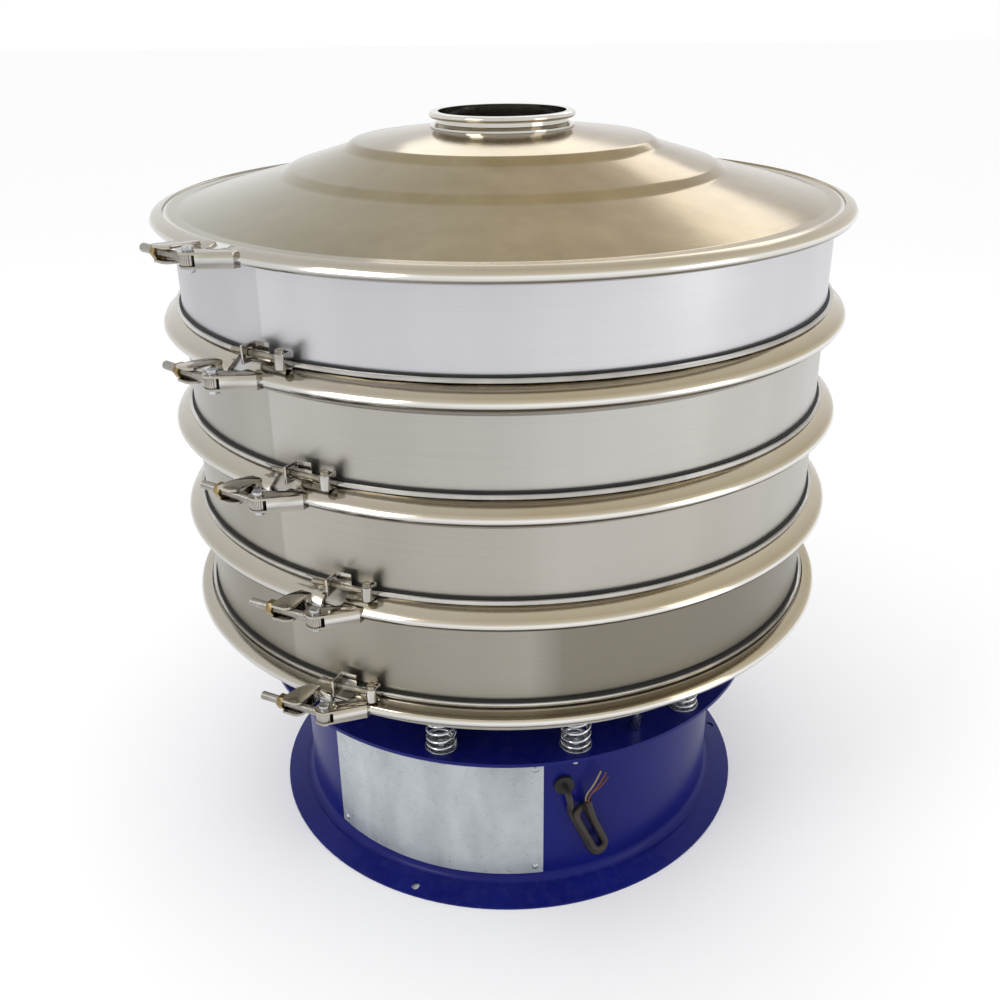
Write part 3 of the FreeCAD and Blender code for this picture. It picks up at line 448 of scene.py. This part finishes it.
def film_over_steel(name):
    finish = Finish(name, Metallic=0.35, Roughness=0.3, Coat_Roughness=0.2)
    crease = finish.noise(14.0, 5.0, (1.0, 1.0, 0.35), 0.6)
    crumple = finish.noise(70.0, 3.0)
    share = (crease * 1.3 + crumple * 0.25 - 0.4).clamped()
    finish.drive("Base Color", finish.blend(share, linear(150, 156, 160), linear(206, 211, 214)))
    finish.drive("Roughness", (crumple * 0.25 + 0.18).clamped())
    finish.bump(crease * 0.7 + crumple * 0.3, 0.22, 0.0016)
    return finish.material


film = film_over_steel("film")
print("Rubber, plastics and film are ready")

# %% [markdown]
# ## Woven screens
# A screen is wire cloth. At this size its wires are a fraction of a millimetre, so they are a pattern: two
# waves at right angles, of which the higher one at each point is the wire on top.

# %% Mix the wire cloth
def wire_cloth(name, mesh=0.0016):
    finish = Finish(name, Metallic=1.0, Roughness=0.35)
    warp, weft = ((finish.along(axis) * (math.pi / mesh)).math("SINE").math("ABSOLUTE") for axis in "XY")
    wire = warp.math("MAXIMUM", weft)
    finish.drive("Base Color", finish.blend(wire, linear(60, 58, 52), linear(200, 196, 186)))
    finish.bump(wire, 0.5, 0.0005)
    return finish.material


cloth = wire_cloth("wire_cloth")
print("The wire cloth is ready")

# %% [markdown]
# ## Softened copies of the solids
# A solid from the frame has perfectly sharp edges, which never catch the light. Real brackets, nuts and
# flanges have small rounds. A copy of the solid is merged, its flat faces are joined, and its sharp edges
# are bevelled. The copy then stands for the solid and rides on the same body.

# %% Show a piece on its body
def shaded(mesh, sharp_degrees=35.0):
    """Smooth shading that breaks at sharp edges."""
    for face in mesh.polygons:
        face.use_smooth = True
    mesh.set_sharp_from_angle(angle=math.radians(sharp_degrees))


def linked(name, data):
    """A new object in the scene."""
    made = bpy.data.objects.new(name, data)
    bpy.context.scene.collection.objects.link(made)
    return made


def shown(name, bm, material, body, *stands_for):
    """Puts a finished bmesh in the scene as a piece of the machine."""
    mesh = bpy.data.meshes.new(name)
    bm.to_mesh(mesh)
    bm.free()
    shaded(mesh)
    mesh.materials.append(material)
    piece = linked(name, mesh)
    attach(piece, body)
    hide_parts(*stands_for)
    return piece


flat_degrees = 0.04


def merged_copy(node):
    """The solid's mesh, joined up and with its flat faces made whole."""
    bm = bmesh.new()
    bm.from_mesh(nodes[node].data)
    bmesh.ops.remove_doubles(bm, verts=bm.verts, dist=1e-6)
    bmesh.ops.dissolve_limit(bm, angle_limit=math.radians(flat_degrees), verts=bm.verts, edges=bm.edges)
    return bm


def softened(node, material, width, segments=2, sharp_degrees=32.0):
    """A copy of the solid with its sharp edges broken, on the same body."""
    bm = merged_copy(node)
    limit = math.radians(sharp_degrees)
    sharp = [edge for edge in bm.edges if edge.is_manifold and edge.calc_face_angle() > limit]
    bmesh.ops.bevel(bm, geom=sharp, offset=width, offset_type="OFFSET", affect="EDGES",
                    segments=segments, profile=0.5, clamp_overlap=True, material=-1)
    return shown(node + "_soft", bm, material, nodes[node]["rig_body"], node)


# %% [markdown]
# ## Turning on a lathe
# The cover is seen from near and mirrors everything, so it is turned again with many more steps than its
# solid has. An outline of a few corners is rounded by bevelling its corners, and then spun about Z.

# %% Turn an outline into a ring
mm = 0.001
turn_steps = 288


def rounded_outline(corners):
    """A bmesh with a closed outline in XZ. A corner is (r, z) or (r, z, radius of its round)."""
    bm = bmesh.new()
    points = [bm.verts.new((corner[0] * mm, 0, corner[1] * mm)) for corner in corners]
    for here, there in zip(points, points[1:] + points[:1]):
        bm.edges.new((here, there))
    for point, corner in zip(points, corners):
        if len(corner) == 3:
            bmesh.ops.bevel(bm, geom=[point], offset=corner[2] * mm, offset_type="OFFSET", affect="VERTICES",
                            segments=5, profile=0.5, clamp_overlap=True, material=-1)
    return bm


def turned(name, corners, material, body, *stands_for):
    """A ring of one closed outline. Its first and last steps meet at the front."""
    bm = rounded_outline(corners)
    bmesh.ops.rotate(bm, verts=bm.verts, cent=(0, 0, 0), matrix=Matrix.Rotation(-math.pi / 2, 3, "Z"))
    geom = bm.edges[:] + bm.verts[:]
    bmesh.ops.spin(bm, geom=geom, cent=(0, 0, 0), axis=(0, 0, 1), angle=2 * math.pi,
                   steps=turn_steps, use_merge=True)
    bmesh.ops.remove_doubles(bm, verts=bm.verts, dist=1e-6)
    bmesh.ops.recalc_face_normals(bm, faces=bm.faces)
    return shown(name, bm, material, body, *stands_for)


# %% [markdown]
# ## The cover
# The cover is one sheet spun into three crowned cones with two steps between them, and a flat rim that the
# top clamp holds. The solid has straight cones. Here the same corners get their rounds, so that each step
# turns over softly. A corner is its radius, its height above the top joint and the size of its round, all
# in millimetres.

# %% Turn the cover
cover_low, cover_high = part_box("cover")
top_joint = joints["swing_1"]["pos_m"][2] / mm
collar_r = 97.0
cone_end_r = 488.0
rim_r = 521.0
rim_inner_r = 498.0
sheet = 2.0
top_side = [
    (collar_r, 109.0), (227.0, 92.0, 3.0), (242.0, 81.5, 4.0), (322.0, 58.0, 3.0), (338.0, 48.0, 4.0),
    (cone_end_r, 10.0, 1.5),
]
rim_side = [(508.0, 9.7, 0.8), (rim_r, 4.5, 0.6), (rim_r, 1.5), (rim_inner_r, 1.5), (rim_inner_r, 8.0)]
under_side = [(corner[0], corner[1] - sheet) for corner in reversed(top_side)]
cover_corners = [
    (radius, top_joint + height, *bend) for radius, height, *bend in top_side + rim_side + under_side
]
cover = turned("cover_spun", cover_corners, cover_steel, "sieve_stack", "cover")
print("The cover is", round((cover_high.x - cover_low.x) / mm), "mm wide")

# %% [markdown]
# ## Springs
# A compression spring has closed ends: the first and last turns lie on their neighbours. Spin can climb
# while it turns, so one wire section is spun three times, slowly for the closed ends and faster for the
# free turns.

# %% Wind the springs
spring_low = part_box("support_springs")[0].z
spring_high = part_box("support_springs")[1].z
spring_pitch_r = 0.396
spring_mean_r = 0.02125
wire_r = 0.00225
spring_count = 12
first_spring_azimuth = 15.0
end_turns = 1.0
free_turns = 5.0
closed_pitch = 2.15 * wire_r
steps_per_turn = 28


def wind(bm, section, turns, rise):
    """Spins the section about Z, climbing by rise in all. Returns the far end's section."""
    steps = round(steps_per_turn * turns)
    result = bmesh.ops.spin(bm, geom=section, cent=(0, 0, 0), axis=(0, 0, 1), dvec=(0, 0, rise / steps),
                            angle=2 * math.pi * turns, steps=steps)
    return result["geom_last"]


def coil():
    """One spring on the Z axis, between the two seats."""
    bm = bmesh.new()
    bmesh.ops.create_circle(bm, cap_ends=True, segments=10, radius=wire_r)
    bmesh.ops.rotate(bm, verts=bm.verts, cent=(0, 0, 0), matrix=Matrix.Rotation(math.pi / 2, 3, "X"))
    bmesh.ops.translate(bm, verts=bm.verts, vec=(spring_mean_r, 0, spring_low + wire_r))
    free_rise = spring_high - spring_low - 2 * wire_r - 2 * closed_pitch
    section = bm.verts[:] + bm.edges[:] + bm.faces[:]
    section = wind(bm, section, end_turns, closed_pitch)
    section = wind(bm, section, free_turns, free_rise)
    wind(bm, section, end_turns, closed_pitch)
    bmesh.ops.remove_doubles(bm, verts=bm.verts, dist=1e-7)
    bmesh.ops.recalc_face_normals(bm, faces=bm.faces)
    return bm


springs = bmesh.new()
for number in range(spring_count):
    azimuth = math.radians(first_spring_azimuth + 360.0 * number / spring_count)
    one = coil()
    bmesh.ops.translate(one, verts=one.verts, vec=(0, -spring_pitch_r, 0))
    bmesh.ops.rotate(one, verts=one.verts, cent=(0, 0, 0), matrix=Matrix.Rotation(azimuth, 3, "Z"))
    holder = bpy.data.meshes.new("one_spring")
    one.to_mesh(holder)
    one.free()
    springs.from_mesh(holder)
    bpy.data.meshes.remove(holder)
spring_mesh = bpy.data.meshes.new("springs_wound")
springs.to_mesh(spring_mesh)
springs.free()
shaded(spring_mesh)
spring_mesh.materials.append(spring_zinc)
spring_piece = linked("springs_wound", spring_mesh)
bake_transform(spring_piece)
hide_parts("support_springs")
print(spring_count, "springs of", round(end_turns * 2 + free_turns), "turns")

# %% [markdown]
# ## The motor cable
# The cable comes out of its gland, turns down and is folded into a loose hank against the drum. It ends in
# three bare cores. Its route repeats the points of the solid: how far along the hank, how far across it,
# and how far out from the drum. A smooth curve through them with a round section is the cable.

# %% Lay the cable
drum_radius = 372.0
gland_azimuth = 13.4
gland_z = 204.0
hank_lean = 23.4
cable_width = 11.0
core_width = 3.0
core_spread = 2.9
core_lead = 10.0
cable_route = [
    (0.0, 0.0, 6.0), (0.0, 0.0, 30.0), (24.0, -6.0, 28.0), (42.0, -10.0, 10.0),
    (68.0, -12.5, 6.3), (113.0, -12.0, 6.1), (163.0, -13.2, 6.2), (163.0, 13.2, 6.2),
    (118.0, 12.2, 6.3), (85.0, 13.0, 6.1), (48.0, 12.6, 7.6), (48.0, -6.6, 21.2),
    (82.0, -8.0, 19.0), (112.0, -7.6, 18.6), (144.0, -8.4, 18.7), (144.0, 13.4, 18.7),
    (108.0, 13.0, 18.9), (70.0, 14.4, 18.6), (38.0, 20.0, 19.6),
]
core_ends = [
    [(20.0, 47.0, 21.0), (6.0, 66.0, 19.0)],
    [(18.0, 41.0, 17.0), (1.0, 60.0, 16.0)],
    [(30.0, 49.0, 16.5), (20.0, 66.0, 15.5)],
]


def beside_drum(along, across, out):
    """A point of the hank, in millimetres."""
    lean = math.radians(hank_lean)
    sideways = along * math.sin(lean) + across * math.cos(lean)
    height = gland_z - along * math.cos(lean) + across * math.sin(lean)
    azimuth = math.radians(gland_azimuth) + sideways / drum_radius
    radius = drum_radius + out
    return Vector((radius * math.sin(azimuth), -radius * math.cos(azimuth), height))


def core_route(number):
    """One core: straight out of the cable's end, then its own way."""
    end = beside_drum(*cable_route[-1])
    axis = (end - beside_drum(*cable_route[-2])).normalized()
    side = axis.cross(Vector((end.x, end.y, 0))).normalized()
    angle = 2 * math.pi * (number / len(core_ends) + 0.25)
    start = end + (side * math.cos(angle) + side.cross(axis) * math.sin(angle)) * core_spread
    return [start, start + axis * core_lead] + [beside_drum(*point) for point in core_ends[number]]


def laid(name, routes, width, materials):
    """A curve object with a round section, one smooth spline for each route in millimetres."""
    curve = bpy.data.curves.new(name, "CURVE")
    curve.dimensions = "3D"
    curve.bevel_depth = width * mm / 2
    curve.bevel_resolution = 4
    curve.resolution_u = 12
    curve.use_fill_caps = True
    for material in materials:
        curve.materials.append(material)
    for number, route in enumerate(routes):
        spline = curve.splines.new("NURBS")
        spline.points.add(len(route) - 1)
        for point, place in zip(spline.points, route):
            point.co = (*(place * mm), 1.0)
        spline.order_u = 3
        spline.use_endpoint_u = True
        spline.material_index = number % len(materials)
    return linked(name, curve)


core_routes = [core_route(number) for number in range(len(core_ends))]
cores = laid("cable_core_wires", core_routes, core_width, [brown_core, cream_core])
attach(cores, "base")
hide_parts("cable_cores")
cable = laid("cable_hank", [[beside_drum(*point) for point in cable_route]], cable_width, [sheath])
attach(cable, "base")
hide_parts("motor_cable")

# %% [markdown]
# ## Brackets, bolts and nuts
# The closures of the clamps and hoops are small welded and turned pieces. Their solids are already exact,
# so they only need their edges broken.

# %% Soften the hardware
for number in range(1, 6):
    softened("ring_clamp_%d" % number, clamp_steel, 0.0006)
    hinge_place = joints["swing_%d" % number]["pos_m"]
    rod_azimuth = math.degrees(math.atan2(hinge_place[0], -hinge_place[1]))
    rod_steel = threaded("rod_steel_%d" % number, rod_azimuth, linear(96, 90, 80), linear(206, 202, 194))
    softened("swing_bolt_%d" % number, rod_steel, 0.0008)
    softened("swing_nut_%d" % number, brass, 0.0007)
for number in range(2, 6):
    softened("mesh_hoop_%d" % number, hoop_steel, 0.0011, 3)
small_pieces = {
    "clevis_pins": (zinc, 0.0008), "hoop_bolts": (bracket_steel, 0.0007), "hoop_nuts": (brass, 0.0006),
    "limit_posts": (zinc, 0.0012), "lower_spring_seats": (zinc, 0.0005), "upper_spring_seats": (zinc, 0.0005),
}
for node, (material, edge_width) in small_pieces.items():
    softened(node, material, edge_width)
print("The hardware has soft edges")

# %% [markdown]
# ## Finishes on the plain solids
# The other solids keep their own meshes, since nothing close to the eye shows their edges, and only take a
# finish.

# %% Give the solids their finishes
plain_finishes = {
    "base_drum": base_paint, "spring_shelf": base_paint, "base_foot": base_paint,
    "access_plate": film, "plate_screws": zinc, "cable_grommet": rubber,
    "bottom_pan": pan_steel, "motor_seat": plain_steel, "motor_housing": motor_paint,
    "motor_end_bells": cast_iron, "motor_bearings": plain_steel, "motor_bolts": zinc,
    "stator_core": core_iron, "rotor_shaft": core_iron, "upper_weight": cast_iron,
    "lower_weight": cast_iron, "joint_gaskets": rubber, "mesh_hems": rubber, "inlet_collar": collar_steel,
}
for number in range(1, 5):
    plain_finishes["deck_frame_%d" % number] = wall_steels[number - 1]
    plain_finishes["screen_%d" % number] = cloth
for node, material in plain_finishes.items():
    mesh = nodes[node].data
    mesh.materials.clear()
    mesh.materials.append(material)
print(len(plain_finishes), "solids have their finishes")

# %% [markdown]
# ## The floor and the background
# The floor is pale, and the background is white wherever the camera, a reflection or a refraction looks
# past it. That white comes from the light path. The soft light from all round is set apart from it.

# %% Lay the floor
floor_reach = 30.0
floor_finish = Finish("floor_finish", Base_Color=(0.98, 0.98, 0.98, 1.0), Roughness=0.7)
bm = bmesh.new()
bmesh.ops.create_grid(bm, x_segments=1, y_segments=1, size=floor_reach)
floor_mesh = bpy.data.meshes.new("floor")
bm.to_mesh(floor_mesh)
bm.free()
floor_mesh.materials.append(floor_finish.material)
floor = linked("floor", floor_mesh)

world = bpy.data.worlds.new("studio")
bpy.context.scene.world = world
world.use_nodes = True
sky = world.node_tree
ambient = sky.nodes["Background"]
ambient.inputs["Color"].default_value = (0.99, 0.99, 1.0, 1.0)
ambient.inputs["Strength"].default_value = 1.0
white = sky.nodes.new("ShaderNodeBackground")
white.inputs["Color"].default_value = (1.0, 1.0, 1.0, 1.0)
white.inputs["Strength"].default_value = 1.0
path = sky.nodes.new("ShaderNodeLightPath")
looks_past = path.outputs["Is Camera Ray"]
for ray in ("Is Glossy Ray", "Is Transmission Ray"):
    either = sky.nodes.new("ShaderNodeMath")
    either.operation = "MAXIMUM"
    sky.links.new(looks_past, either.inputs[0])
    sky.links.new(path.outputs[ray], either.inputs[1])
    looks_past = either.outputs[0]
choose = sky.nodes.new("ShaderNodeMixShader")
sky.links.new(looks_past, choose.inputs[0])
sky.links.new(ambient.outputs[0], choose.inputs[1])
sky.links.new(white.outputs[0], choose.inputs[2])
sky.links.new(choose.outputs[0], sky.nodes["World Output"].inputs[0])
print("The floor and the background are in place")

# %% [markdown]
# ## The lamps
# Three broad lamps give the metal something to mirror: a key at the front left, a fill at the right and a
# strip behind for the rims. Each is turned from its place towards a point on the machine.

# %% Hang the lamps
def lamp(name, place, aim, size, power, colour=(1.0, 1.0, 1.0)):
    data = bpy.data.lights.new(name, "AREA")
    data.shape = "RECTANGLE"
    data.size = size[0]
    data.size_y = size[1]
    data.energy = power
    data.color = colour
    made = linked(name, data)
    direction = Vector(aim) - Vector(place)
    made.matrix_world = Matrix.Translation(place) @ direction.to_track_quat("-Z", "Y").to_matrix().to_4x4()
    return made


lamp("key", (-2.6, -2.4, 2.9), (0, 0, 0.6), (1.6, 1.6), 42.0)
lamp("fill", (3.0, -1.6, 1.6), (0, 0, 0.6), (1.2, 2.2), 12.0, (1.0, 0.98, 0.95))
lamp("rim", (0.5, 3.0, 2.6), (0, 0, 0.7), (2.4, 0.8), 9.0)
bpy.context.scene.view_settings.view_transform = "Standard"
print("Three lamps are lit")
